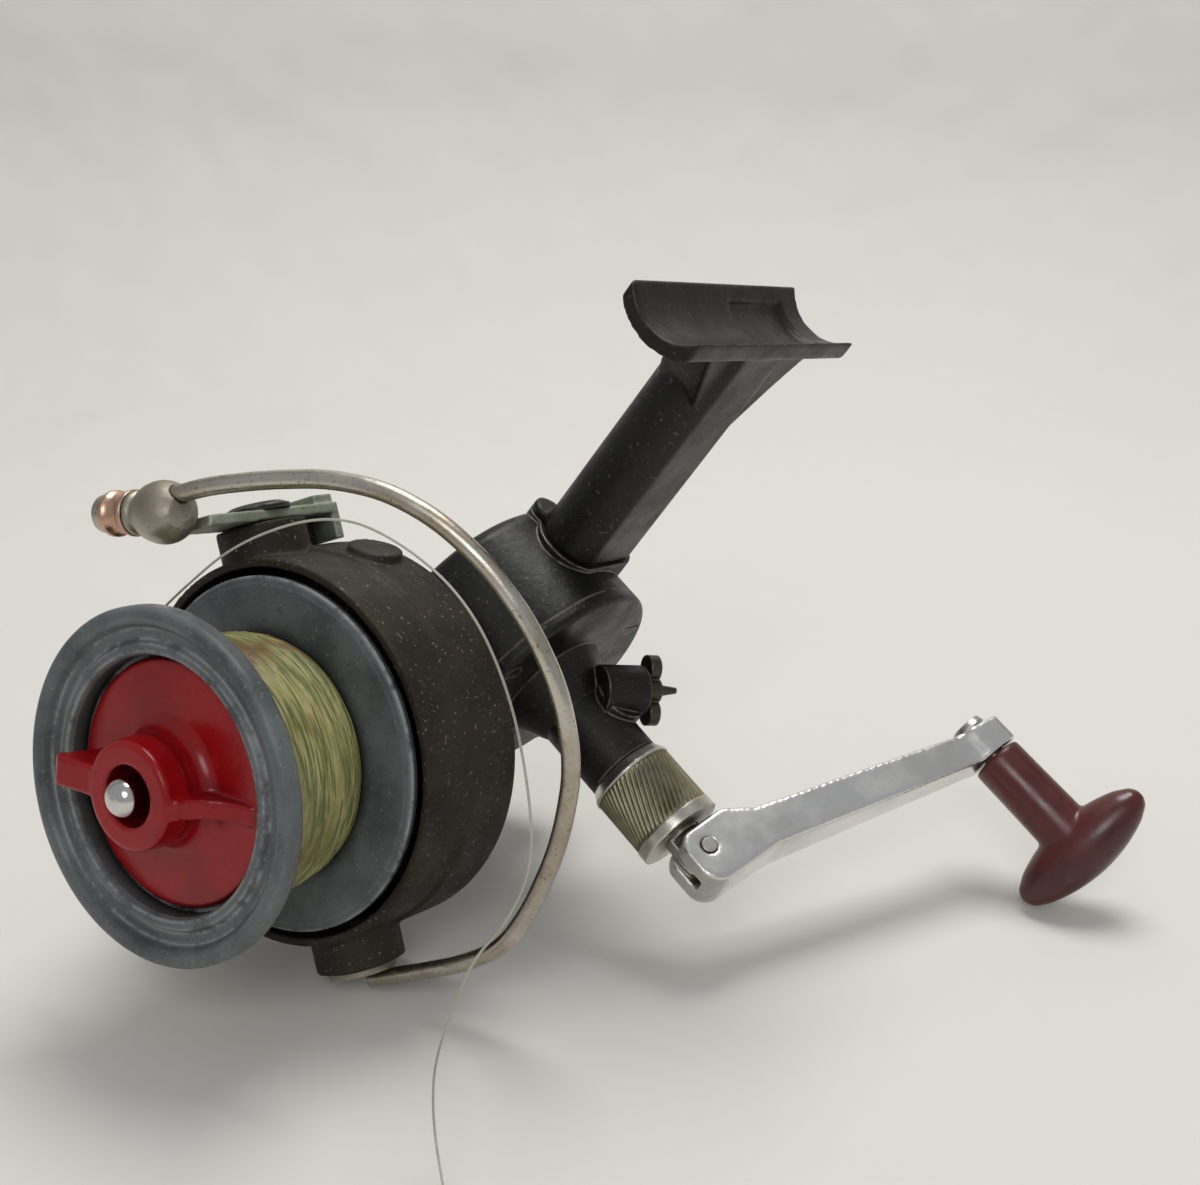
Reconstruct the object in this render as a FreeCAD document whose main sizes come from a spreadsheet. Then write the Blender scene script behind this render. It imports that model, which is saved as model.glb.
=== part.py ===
"""Vintage spinning reel: a parametric assembly of separate pieces, in millimetres.

The reel hangs from its foot. The origin is the middle of the rod seat in the foot, +X points forward
along the spool, +Y points to the handle and +Z points up to the rod. Pieces are drawn about four lines:
the spool axis, the rotor's ear axis, the handle axis and the folding crank.
"""
import FreeCAD, Part
import math
import os
import re
import Sketcher

Vector = FreeCAD.Vector
Rotation = FreeCAD.Rotation
Placement = FreeCAD.Placement

SIZES = {
    # where the axes lie
    "seat_drop": 98.5,            # rod seat down to the spool axis
    "handle_x": 2.8,              # handle axis, forward of the origin
    "handle_rise": 21.8,          # handle axis above the spool axis
    "pivot_x": 43.3,              # bail pivot axis
    "rotor_rest": 56.4,           # turn of the rotor at rest, degrees
    "crank_rest": 206.5,          # turn of the crank at rest, degrees
    "fit_gap": 0.04,              # radial running clearance of shafts and pins
    "free_gap": 0.4,              # clearance of pieces that pass each other
    # foot and stem
    "foot_length": 57.6,
    "foot_width": 16.8,
    "seat_radius": 10.2,          # rod radius that the trough fits
    "foot_wall": 2.8,
    "stem_long": 21.0,
    "stem_wide": 13.0,
    "stem_x": -2.2,
    "stem_base": 46.0,            # bottom of the stem above the spool axis
    # gear case
    "case_radius": 23.6,
    "case_wall": 1.9,
    "case_left": 11.0,
    "case_right": 12.0,
    "case_round": 3.2,            # rounded edge of the case's closed end
    "cover_thick": 2.6,
    "cover_round": 1.2,
    "barrel_radius": 11.8,
    "barrel_bore": 9.4,
    "barrel_back": -31.0,
    "nose_radius": 16.0,
    "nose_back": 13.0,
    "nose_front": 26.6,
    "boss_radius": 7.4,
    "boss_end": 36.8,
    "screw_radius": 1.5,
    "screw_head": 1.2,
    "screw_circle": 20.2,
    # shaft line
    "shaft_radius": 3.0,
    "shaft_front": 80.0,
    "shaft_back": -10.4,
    "sleeve_radius": 4.0,
    "bearing_radius": 11.0,
    "bearing_width": 7.0,
    "bearing_back": 16.0,
    "stroke": 17.5,
    "crosshead_radius": 4.8,
    "crosshead_long": 4.6,
    "guide_radius": 0.9,
    "guide_drop": 8.15,
    # gears: crossed helical pair
    "wheel_teeth": 32,
    "worm_teeth": 8,
    "wheel_pitch": 15.5,
    "worm_pitch": 6.3,
    "tooth_high": 0.55,
    "tooth_deep": 0.75,
    "wheel_width": 5.0,
    "worm_long": 13.0,
    # rotor
    "rotor_radius": 35.2,
    "rotor_step": 0.7,
    "rotor_wall": 1.6,
    "rotor_front": 52.5,
    "rotor_back": 28.6,
    "rotor_floor": 2.0,
    "ear_radius": 8.2,
    "ear_height": 41.0,
    "ear_bore": 5.4,
    "switch_rest": -77.7,         # turn of the lever's two lobes about its own pin, degrees
    "pawl_side": -5.2,
    "pawl_high": 7.7,
    "pawl_lift": 27.0,            # turn of the pawl away from the ratchet, degrees
    # spool
    "flange_radius": 30.5,
    "rear_flange_radius": 32.2,
    "arbor_radius": 15.0,
    "line_radius": 23.4,
    "spool_back": 50.9,
    "spool_front": 81.4,
    "recess_radius": 22.2,
    "washer_radius": 12.0,
    # drag knob and release button
    "knob_radius": 21.4,
    "knob_boss_radius": 9.3,
    "knob_boss_front": 86.6,
    "knob_bore": 5.2,
    "button_radius": 3.2,
    "button_front": 89.8,
    "button_travel": 1.8,
    "drag_rest": -57.5,           # turn of the drag knob at rest, degrees
    # bail
    "arm_thick": 2.0,
    "arm_reach": 23.4,
    "tail_reach": 17.0,
    "roller_side": 3.4,           # roller body, sideways of the pivot
    "roller_high": 44.9,          # roller body, out from the spool axis
    "wire_radius": 1.6,
    "roller_radius": 4.1,
    "roller_body_radius": 5.2,
    # handle
    "spindle_radius": 3.4,
    "collar_radius": 8.5,
    "collar_length": 16.7,
    "rim_long": 2.2,
    "crank_length": 67.6,
    "crank_root": 54.5,           # inner side of the crank root out from the reel's centre plane
    "crank_end": 70.0,            # inner side of the crank's end
    "crank_wide": 9.0,
    "crank_thick": 7.0,
    "hinge_radius": 1.5,
    "hinge_y": 59.0,              # fold pin out from the reel's centre plane
    "knob_stem": 28.0,
    "knob_half": 15.8,
    "knob_girth": 6.2,
    "knob_turn": 105.0,
    # fishing line
    "line_thick": 0.2,            # radius
}

doc = FreeCAD.newDocument("spinning_reel")
sheet = doc.addObject("Spreadsheet::Sheet", "Sizes")
for row, (alias, number) in enumerate(SIZES.items(), start=1):
    sheet.set(f"A{row}", alias)
    sheet.set(f"B{row}", str(number))
    sheet.setAlias(f"B{row}", alias)
doc.recompute()

pieces = []


def formula(text):
    """Turn a text such as 'rotor_front - 2' into an expression on the sheet."""
    return re.sub(r"[a-z][a-z_]+", lambda word: "Sizes." + word[0] if word[0] in SIZES else word[0], str(text))


def size(text):
    """The number that a text of sizes gives now."""
    return float(sheet.evalExpression(formula(text)))


def point(x, y, z):
    return Vector(size(x), size(y), size(z))


# ---------------------------------------------------------------- frames

SWITCH_SPOT = Vector(-5.6, 28.2, 32.6)
SWITCH_AXIS = (-0.85, 0.46, 0.26)
ROLLER_AXIS = (0, -0.98, 0.2)


def direction_turn(x, y, z):
    """The turn that carries local X onto a direction."""
    return Rotation(Vector(1, 0, 0), Vector(x, y, z))


def frames():
    """Base formulas and turn of each local frame. Local X is the axis that turned pieces spin about."""
    about_x = Rotation(Vector(1, 0, 0), size("rotor_rest"))
    about_y = Rotation(Vector(0, 1, 0), size("crank_rest"))
    x_to_y = Rotation(Vector(0, 0, 1), 90)
    spool = ("0", "0", "-seat_drop")
    pivot = ("pivot_x", "0", "-seat_drop")
    handle = ("handle_x", "0", "handle_rise - seat_drop")
    roller_at = about_x.multVec(point("arm_reach", "roller_side", "roller_high"))
    fold_at = about_y.multVec(point("0", "hinge_y", "-crank_wide/2 - 1.1"))
    knob_at = about_y.multVec(point("crank_length", "0", "0"))
    return {
        "foot": (("0", "0", "0"), Rotation()),
        "spool": (spool, Rotation()),
        "drag": (spool, Rotation(Vector(1, 0, 0), size("drag_rest"))),
        "rotor": (spool, about_x),
        "pawl": (shifted(spool, point("bearing_back + bearing_width + 2.2", "pawl_side", "pawl_high")),
                 Rotation(Vector(1, 0, 0), size("pawl_lift"))),
        "pivot": (pivot, about_x),
        "upper_ear": (pivot, about_x * Rotation(Vector(0, 1, 0), -90)),
        "lower_ear": (pivot, about_x * Rotation(Vector(0, 1, 0), 90)),
        "roller": (shifted(pivot, roller_at), about_x * direction_turn(*ROLLER_AXIS)),
        "spindle": (handle, x_to_y),
        "crank": (handle, about_y),
        "crank_spindle": (handle, about_y * x_to_y),
        "fold": (shifted(handle, fold_at), about_y * Rotation(Vector(0, 1, 0), -90)),
        "knob": (shifted(handle, knob_at), Rotation(Vector(0, 1, 0), -size("knob_turn"))),
        "knob_spindle": (shifted(handle, knob_at), x_to_y),
        "switch": (shifted(spool, SWITCH_SPOT),
                   direction_turn(*SWITCH_AXIS) * Rotation(Vector(1, 0, 0), size("switch_rest"))),
    }


def shifted(base, offset):
    return tuple(f"{text} + {step:.6f}" for text, step in zip(base, offset))


def place(thing, frame, at=("0", "0", "0")):
    base, turn = frames()[frame]
    offset = turn.multVec(point(*at))
    thing.Placement = Placement(Vector(), turn)
    for letter, text, shift in zip("xyz", base, offset):
        thing.setExpression(f"Placement.Base.{letter}", formula(f"{text} + {shift:.6f}"))


def piece(thing, label, frame, at=("0", "0", "0")):
    """Register a finished sub-part under its node name and set it in its frame."""
    thing.Label = label
    place(thing, frame, at)
    pieces.append(thing)
    return thing


# ---------------------------------------------------------------- solids

TURNS = {"x": Rotation(Vector(0, 1, 0), 90), "y": Rotation(Vector(1, 0, 0), -90), "z": Rotation()}


def primitive(kind, name, at, turn, **sizes):
    thing = doc.addObject(kind, name)
    for prop, text in sizes.items():
        thing.setExpression(prop, formula(text))
    thing.Placement = Placement(Vector(), turn)
    for letter, text in zip("xyz", at):
        thing.setExpression(f"Placement.Base.{letter}", formula(text))
    return thing


def cylinder(name, radius, length, at=("0", "0", "0"), along="x"):
    return primitive("Part::Cylinder", name, at, TURNS[along], Radius=radius, Height=length)


def cone(name, radius_a, radius_b, length, at=("0", "0", "0"), along="x"):
    return primitive("Part::Cone", name, at, TURNS[along], Radius1=radius_a, Radius2=radius_b, Height=length)


def box(name, long, wide, high, at):
    """A box centred in Y; at is the middle of its low-X face's bottom edge."""
    x, y, z = at
    return primitive("Part::Box", name, (x, f"{y} - ({wide})/2", z), Rotation(), Length=long, Width=wide, Height=high)


def fuse(name, *parts):
    thing = doc.addObject("Part::MultiFuse", name)
    thing.Shapes = list(parts)
    thing.Refine = True
    return thing


def cut(name, base, *tools):
    thing = doc.addObject("Part::Cut", name)
    thing.Base = base
    thing.Tool = tools[0] if len(tools) == 1 else fuse(name + "Tools", *tools)
    return thing


def common(name, base, tool):
    thing = doc.addObject("Part::Common", name)
    thing.Base = base
    thing.Tool = tool
    return thing


def ring(name, outer, inner, length, at=("0", "0", "0"), along="x"):
    return cut(name, cylinder(name + "Outer", outer, length, at, along),
               cylinder(name + "Hole", inner, length, at, along))


def sketch_on(body, name, role, outline):
    """A closed sketch whose corners are bound to the sheet.

    Each corner is (x, y). A third and fourth entry make the side after it an arc through that point.
    """
    sketch = body.newObject("Sketcher::SketchObject", name)
    plane = [feature for feature in body.Origin.OriginFeatures if feature.Role == role][0]
    sketch.AttachmentSupport = [(plane, "")]
    sketch.MapMode = "FlatFace"
    corners = [Vector(size(corner[0]), size(corner[1]), 0) for corner in outline]
    count = len(corners)
    for index, corner in enumerate(outline):
        start, end = corners[index], corners[(index + 1) % count]
        if len(corner) == 4:
            middle = Vector(size(corner[2]), size(corner[3]), 0)
            clockwise = (middle - start).cross(end - start).z < 0
            sketch.addGeometry(Part.Arc(end, middle, start) if clockwise else Part.Arc(start, middle, end), False)
        else:
            sketch.addGeometry(Part.LineSegment(start, end), False)
    ends = []
    for index, corner in enumerate(outline):
        geometry = sketch.Geometry[index]
        forward = geometry.StartPoint.isEqual(corners[index], 1e-6)
        ends.append((1, 2) if forward else (2, 1))
    for index, corner in enumerate(outline):
        if len(corner) == 4:
            sketch.addConstraint(Sketcher.Constraint("Radius", index, sketch.Geometry[index].Radius))
    for index in range(count):
        follower = (index + 1) % count
        sketch.addConstraint(Sketcher.Constraint("Coincident", index, ends[index][1], follower, ends[follower][0]))
    for index, corner in enumerate(outline):
        for kind, letter, number, text in (("DistanceX", "x", corners[index].x, corner[0]),
                                           ("DistanceY", "y", corners[index].y, corner[1])):
            place_in_list = sketch.addConstraint(
                Sketcher.Constraint(kind, -1, 1, index, ends[index][0], number))
            sketch.renameConstraint(place_in_list, f"{letter}{index}")
            sketch.setExpression(f"Constraints.{letter}{index}", formula(text))
    return sketch


def turned(name, outline):
    """A body of revolution about local X, from an outline of (x, radius) corners."""
    body = doc.addObject("PartDesign::Body", name)
    sketch = sketch_on(body, name + "Outline", "XZ_Plane", outline)
    turn = body.newObject("PartDesign::Revolution", name + "Turn")
    turn.Profile = sketch
    turn.ReferenceAxis = (sketch, ["H_Axis"])
    turn.Angle = 360
    return body


def plate(name, role, outline, thick, start=None):
    """A body padded evenly to both sides of an origin plane, or upward from a start height."""
    body = doc.addObject("PartDesign::Body", name)
    sketch = sketch_on(body, name + "Outline", role, outline)
    pad = body.newObject("PartDesign::Pad", name + "Pad")
    pad.Profile = sketch
    if start is None:
        pad.SideType = "Symmetric"
    else:
        sketch.setExpression("AttachmentOffset.Base.z", formula(start))
    pad.setExpression("Length", formula(thick))
    return body


def round_edges(body, name, radius, chosen):
    """Fillet the edges of a body's tip that a test picks out."""
    doc.recompute()
    tip = body.Tip
    names = [f"Edge{number}" for number, edge in enumerate(tip.Shape.Edges, start=1) if chosen(edge)]
    fillet = body.newObject("PartDesign::Fillet", name)
    fillet.Base = (tip, names)
    fillet.setExpression("Radius", formula(radius))
    return body


def hoop_at(x, radius):
    """Test for a full circle about local X at a station and radius."""
    def chosen(edge):
        curve = edge.Curve
        return (isinstance(curve, Part.Circle) and abs(curve.Center.x - size(x)) < 1e-4
                and abs(curve.Radius - size(radius)) < 1e-4)
    return chosen


def bar(name, radius, length):
    """A plain round pin along local X."""
    return turned(name, [("0", "0"), ("0", radius), (length, radius), (length, "0")])


def along_y(body, at):
    """Turn a body of revolution so that its axis points to the handle side, and set where it starts."""
    body.Placement = Placement(Vector(), Rotation(Vector(0, 0, 1), 90))
    for letter, text in zip("xyz", at):
        body.setExpression(f"Placement.Base.{letter}", formula(text))
    return body


def feature(name, shape):
    thing = doc.addObject("Part::Feature", name)
    thing.Shape = shape
    return thing


def route_wire(points):
    """Straight runs joined by tangent arcs; each arc takes 0.45 of its shorter run. Returns wire and radii."""
    edges = []
    radii = []
    start = points[0]
    for before, corner, after in zip(points, points[1:], points[2:]):
        back = (before - corner).normalize()
        ahead = (after - corner).normalize()
        half = (math.pi - back.getAngle(ahead)) / 2
        reach = 0.45 * min((before - corner).Length, (after - corner).Length)
        radii.append(reach / math.tan(half))
        first = corner + back * reach
        last = corner + ahead * reach
        inward = (back + ahead).normalize()
        middle = corner + inward * (radii[-1] / math.cos(half) - radii[-1])
        edges.append(Part.LineSegment(start, first).toShape())
        edges.append(Part.Arc(first, middle, last).toShape())
        start = last
    edges.append(Part.LineSegment(start, points[-1]).toShape())
    return Part.Wire(edges), radii


def tube(points, radius):
    """A round bar swept along a rounded route."""
    path, radii = route_wire(points)
    profile = Part.Wire(Part.Circle(points[0], points[1] - points[0], radius).toShape())
    return path.makePipeShell([profile], True, True), path.Length, radii


# ---------------------------------------------------------------- foot and stem

def foot_and_stem():
    """One casting: the trough that clamps to the rod, its stem and the gusset behind it."""
    shell = cylinder("FootOuter", "seat_radius + foot_wall", "foot_length",
                     ("-foot_length/2", "0", "seat_radius"))
    strip = box("FootStrip", "foot_length", "foot_width", "foot_wall + seat_radius/2",
                ("-foot_length/2", "0", "-foot_wall"))
    column = plate("StemColumn", "XY_Plane", [
        ("stem_x - stem_long/2 + 4", "-stem_wide/2"),
        ("stem_x + stem_long/2 - 4", "-stem_wide/2", "stem_x + stem_long/2", "0"),
        ("stem_x + stem_long/2 - 4", "stem_wide/2"),
        ("stem_x - stem_long/2 + 4", "stem_wide/2", "stem_x - stem_long/2", "0"),
    ], "seat_drop - stem_base - foot_wall/2", "stem_base - seat_drop")
    gusset = plate("StemGusset", "XZ_Plane", [
        ("stem_x", "-20"),
        ("stem_x + stem_long/2 - 1", "-13"),
        ("stem_x + stem_long/2 + 6", "-foot_wall/2"),
        ("-foot_length/2 + 6", "-foot_wall/2", "stem_x - stem_long/2 - 5", "-9.5"),
        ("stem_x - stem_long/2 + 1", "-22"),
    ], "stem_wide - 3")
    lug = cylinder("StemLug", "3.2", "2", ("handle_x", "-stem_wide/2 - 1.2", "stem_base - seat_drop"), "z")
    body = common("FootCurve", strip, shell)
    trough = cylinder("FootTrough", "seat_radius", "foot_length", ("-foot_length/2", "0", "seat_radius"))
    pocket = common("FootPocket",
                    cylinder("FootPocketRound", "seat_radius + 1", "foot_length/2 - 9",
                             ("-foot_length/2 + 7", "0", "seat_radius")),
                    box("FootPocketBox", "foot_length", "foot_width - 5", "seat_radius",
                        ("-foot_length/2", "0", "-foot_wall")))
    case_room = cylinder("StemCaseRoom", "case_radius", "case_left + case_right + cover_thick",
                         ("handle_x", "-case_left", "handle_rise - seat_drop"), "y")
    whole = cut("FootCasting", fuse("FootBody", body, column, gusset, lug), trough, pocket, case_room)
    piece(whole, "stem_and_foot", "foot")


# ---------------------------------------------------------------- gear case

def screw_spots():
    """Number, x and z of each cover screw."""
    spots = []
    for number, angle in enumerate((20, 140, 215), start=1):
        turn = math.radians(angle)
        spots.append((number, f"handle_x + screw_circle*{math.cos(turn):.4f}",
                      f"handle_rise + screw_circle*{math.sin(turn):.4f}"))
    return spots


def housing():
    """The gear case casting: a round box on the handle axis and a barrel on the shaft line."""
    case = along_y(turned("CaseRound", [
        ("-case_left", "0"),
        ("-case_left", "case_radius - case_round",
         "-case_left + 0.293*case_round", "case_radius - 0.293*case_round"),
        ("-case_left + case_round", "case_radius"), ("case_right", "case_radius"), ("case_right", "0"),
    ]), ("handle_x", "0", "handle_rise"))
    barrel = cylinder("CaseBarrel", "barrel_radius", "nose_back - barrel_back + 1", ("barrel_back", "0", "0"))
    nose = cylinder("CaseNose", "nose_radius", "nose_front - nose_back", ("nose_back", "0", "0"))
    saddle = plate("CaseSaddle", "XY_Plane", [
        ("stem_x - stem_long/2 + 4", "-stem_wide/2 - 0.7"),
        ("stem_x + stem_long/2 - 4", "-stem_wide/2 - 0.7", "stem_x + stem_long/2 + 1", "0"),
        ("stem_x + stem_long/2 - 4", "stem_wide/2 + 0.7"),
        ("stem_x - stem_long/2 + 4", "stem_wide/2 + 0.7", "stem_x - stem_long/2 - 1", "0"),
    ], "stem_base - handle_rise - 4", "handle_rise + 4")
    lug = cylinder("CaseLug", "3.2", "9", ("handle_x", "-stem_wide/2 - 1.2", "stem_base - 9"), "z")
    chamber = cylinder("CaseChamber", "case_radius - case_wall", "case_left + case_right",
                       ("handle_x", "-case_left + case_wall", "handle_rise"), "y")
    bore = cylinder("CaseBore", "barrel_bore", "nose_back + 1 - (barrel_back + case_wall)",
                    ("barrel_back + case_wall", "0", "0"))
    seat = cylinder("CaseSeat", "bearing_radius", "bearing_width + 20", ("bearing_back", "0", "0"))
    web_hole = cylinder("CaseWebHole", "sleeve_radius + 1.2", "20", ("nose_back", "0", "0"))
    guide_hole = cylinder("CaseGuideHole", "guide_radius", "bearing_back - barrel_back - 1",
                          ("barrel_back + 1", "0", "-guide_drop"))
    shell = cut("CaseShell", fuse("CaseSolid", case, barrel, nose, saddle, lug),
                chamber, bore, seat, web_hole, guide_hole)
    lugs = []
    holes = []
    for number, across, up in screw_spots():
        lugs.append(cylinder(f"CaseScrewLug{number}", "3.0", "case_right + case_left - case_wall",
                             (across, "-case_left + case_wall", up), "y"))
        holes.append(cylinder(f"CaseScrewHole{number}", "screw_radius", "8", (across, "case_right - 7", up), "y"))
    keep = common("CaseLugs", fuse("CaseLugSolid", *lugs),
                  cylinder("CaseLugLimit", "case_radius - case_wall/2", "case_left + case_right",
                           ("handle_x", "-case_left", "handle_rise"), "y"))
    whole = cut("CaseCasting", fuse("CaseWithLugs", shell, keep), *holes)
    piece(whole, "gear_case", "spool")


def side_cover():
    """The plate on the handle side, with the long boss that carries the handle shaft."""
    disc = along_y(turned("CoverDisc", [
        ("0", "0"), ("0", "case_radius"),
        ("cover_thick - cover_round", "case_radius",
         "cover_thick - 0.293*cover_round", "case_radius - 0.293*cover_round"),
        ("cover_thick", "case_radius - cover_round"), ("cover_thick", "0"),
    ]), ("handle_x", "case_right", "handle_rise"))
    boss = cone("CoverBossFlare", "boss_radius + 4.2", "boss_radius", "8",
                ("handle_x", "case_right + cover_thick", "handle_rise"), "y")
    tube_boss = cylinder("CoverBoss", "boss_radius", "boss_end - case_right",
                         ("handle_x", "case_right", "handle_rise"), "y")
    switch_turn = direction_turn(*SWITCH_AXIS)
    switch_axis = switch_turn.multVec(Vector(1, 0, 0))
    on_switch_axis = []
    for name, radius, back, long in (("CoverSwitchLug", "4.8", 11, "8.9"),
                                     ("CoverSwitchHole", "1.5 + fit_gap", 7.5, "20")):
        start = SWITCH_SPOT - switch_axis * back
        on_switch_axis.append(primitive("Part::Cylinder", name, [f"{value:.4f}" for value in start],
                                        switch_turn * TURNS["x"], Radius=radius, Height=long))
    switch_lug, switch_hole = on_switch_axis
    switch_base = cylinder("CoverSwitchBase", "5.2", "8.6", ("handle_x - 2.6", "26.4", "handle_rise"), "z")
    holes = []
    for number, across, up in screw_spots():
        holes.append(cylinder(f"CoverScrewHole{number}", "screw_radius", "20", (across, "case_right - 1", up), "y"))
        holes.append(cylinder(f"CoverScrewSink{number}", "screw_radius + 0.75", "20",
                              (across, "case_right + cover_thick - screw_head", up), "y"))
    bore = cylinder("CoverBore", "spindle_radius + 1.6", "boss_end", ("handle_x", "case_right - 1", "handle_rise"), "y")
    nose_room = cylinder("CoverNoseRoom", "nose_radius + 0.05", "40", ("nose_back", "0", "0"))
    whole = cut("CoverCasting", fuse("CoverSolid", disc, boss, tube_boss, switch_base, switch_lug), bore, nose_room,
                switch_hole, *holes)
    piece(whole, "side_cover", "spool")


def cover_screws():
    """Slotted screws with their heads sunk flush in the cover."""
    screws = []
    for number, across, up in screw_spots():
        shank = cylinder(f"ScrewShank{number}", "screw_radius", "cover_thick + 5",
                         (across, "case_right - 6", up), "y")
        head = cylinder(f"ScrewHead{number}", "screw_radius + 0.7", "screw_head",
                        (across, "case_right + cover_thick - screw_head", up), "y")
        slot = box(f"ScrewSlot{number}", "6", "1.2", "0.6",
                   (f"{across} - 3", "case_right + cover_thick", f"{up} - 0.3"))
        screws.append(cut(f"Screw{number}", fuse(f"ScrewBlank{number}", shank, head), slot))
    group = doc.addObject("Part::Compound", "CoverScrews")
    group.Links = screws
    piece(group, "cover_screws", "spool")


# ---------------------------------------------------------------- shaft line

def tooth_section(teeth, root, tip, station, turn):
    """A closed ring of straight-sided teeth in the plane at a station along local X."""
    step = 2 * math.pi / teeth
    corners = []
    for tooth in range(teeth):
        middle = turn + tooth * step
        for radius, share in ((root, -0.30), (tip, -0.12), (tip, 0.12), (root, 0.30)):
            angle = middle + share * step
            corners.append(Vector(station, radius * math.cos(angle), radius * math.sin(angle)))
    return Part.makePolygon(corners + corners[:1])


def helical_gear(name, teeth, pitch, long, twist, middle, first, bore):
    """A gear whose teeth wind about local X by twist radians per millimetre."""
    root = pitch - size("tooth_deep")
    tip = pitch + size("tooth_high")
    quarter_tooth = math.pi / teeth / 2
    count = math.ceil(abs(twist) * long / quarter_tooth)
    rings = []
    for number in range(count + 1):
        along = -long / 2 + long * number / count
        rings.append(tooth_section(teeth, root, tip, middle + along, first + twist * along))
    blank = Part.makeLoft(rings, True, True)
    hole = Part.makeCylinder(bore, long + 2, Vector(middle - long / 2 - 1, 0, 0), Vector(1, 0, 0))
    return feature(name, blank.cut(hole))


def drive_wheel():
    lean = gear_lean()
    gear = helical_gear("WheelTeeth", int(size("wheel_teeth")), size("wheel_pitch"), size("wheel_width"),
                        lean / size("wheel_pitch"), 0, -math.pi / 2, size("spindle_radius"))
    piece(gear, "drive_wheel", "spindle")


def gear_lean():
    """Slope of the wheel's teeth against its axis, for a right-angled pair with this ratio and these radii."""
    wheel = size("wheel_pitch") / size("wheel_teeth")
    worm = size("worm_pitch") / size("worm_teeth")
    return wheel / worm


def pinion():
    """The hollow pinion: helical teeth at the back and a long sleeve that carries the rotor."""
    teeth = int(size("worm_teeth"))
    middle = size("handle_x")
    long = size("worm_long")
    gear = helical_gear("WormTeeth", teeth, size("worm_pitch"), long, 1 / gear_lean() / size("worm_pitch"),
                        middle, math.pi / 2 + math.pi / teeth - math.radians(size("rotor_rest")),
                        size("shaft_radius") + size("fit_gap"))
    sleeve = ring("PinionSleeve", "sleeve_radius", "shaft_radius + fit_gap",
                  "rotor_back + 10.2 - handle_x - worm_long/2", ("handle_x + worm_long/2", "0", "0"))
    piece(fuse("PinionWhole", gear, sleeve), "pinion", "rotor")


def shaft_line():
    """Main shaft, crosshead, yoke, guide rod and the bearing in the nose."""
    shaft = turned("MainShaft", [("shaft_back", "0"), ("shaft_back", "shaft_radius"),
                                 ("shaft_front - 0.6", "shaft_radius"), ("shaft_front", "shaft_radius - 0.6"),
                                 ("shaft_front", "0")])
    piece(shaft, "main_shaft", "spool")
    hub = cylinder("CrossheadHub", "crosshead_radius", "crosshead_long", ("shaft_back", "0", "0"))
    foot = box("CrossheadFoot", "crosshead_long", "4", "guide_drop - 1.5", ("shaft_back", "0", "-guide_drop - 0.6"))
    cheek = box("CrossheadCheek", "crosshead_long", "7.3", "5", ("shaft_back", "-3.65", "-2"))
    hole = cylinder("CrossheadBore", "shaft_radius", "crosshead_long", ("shaft_back", "0", "0"))
    slide = cylinder("CrossheadSlide", "guide_radius + fit_gap", "crosshead_long", ("shaft_back", "0", "-guide_drop"))
    piece(cut("CrossheadWhole", fuse("CrossheadSolid", hub, foot, cheek), hole, slide), "crosshead", "spool")
    yoke = plate("YokePlate", "XZ_Plane", [
        ("shaft_back", "-2"), ("handle_x + 10", "-2"), ("handle_x + 10", "3.6"),
        ("handle_x + stroke/2 + 2.5", "3.6"), ("handle_x + stroke/2 + 2.5", "handle_rise + stroke/2 + 2.6"),
        ("handle_x + stroke/2 - 2.5", "handle_rise + stroke/2 + 2.6"), ("handle_x + stroke/2 - 2.5", "3"),
        ("shaft_back", "3"),
    ], "1.5")
    slot = box("YokeSlot", "3.2", "4", "stroke + 3.2",
               ("handle_x + stroke/2 - 1.6", "0", "handle_rise - stroke/2 - 1.6"))
    piece(cut("Yoke", yoke, slot), "oscillation_yoke", "spool", ("0", "-8.05", "0"))
    piece(bar("GuideRod", "guide_radius", "bearing_back - barrel_back - 1"),
          "guide_rod", "spool", ("barrel_back + 1", "0", "-guide_drop"))
    piece(ring("Bearing", "bearing_radius", "sleeve_radius + fit_gap", "bearing_width"),
          "pinion_bearing", "spool", ("bearing_back", "0", "0"))
    piece(ring("Retainer", "bearing_radius", "bearing_radius - 2.6", "1"),
          "bearing_retainer", "spool", ("bearing_back + bearing_width", "0", "0"))
    piece(ring("PinionWasher", "sleeve_radius + 2.4", "sleeve_radius", "1"),
          "pinion_washer", "spool", ("handle_x + worm_long/2", "0", "0"))
    piece(bar("EccentricPin", "1.5", "3"), "eccentric_pin", "spindle", ("-wheel_width/2 - 3", "-stroke/2", "0"))


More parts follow.
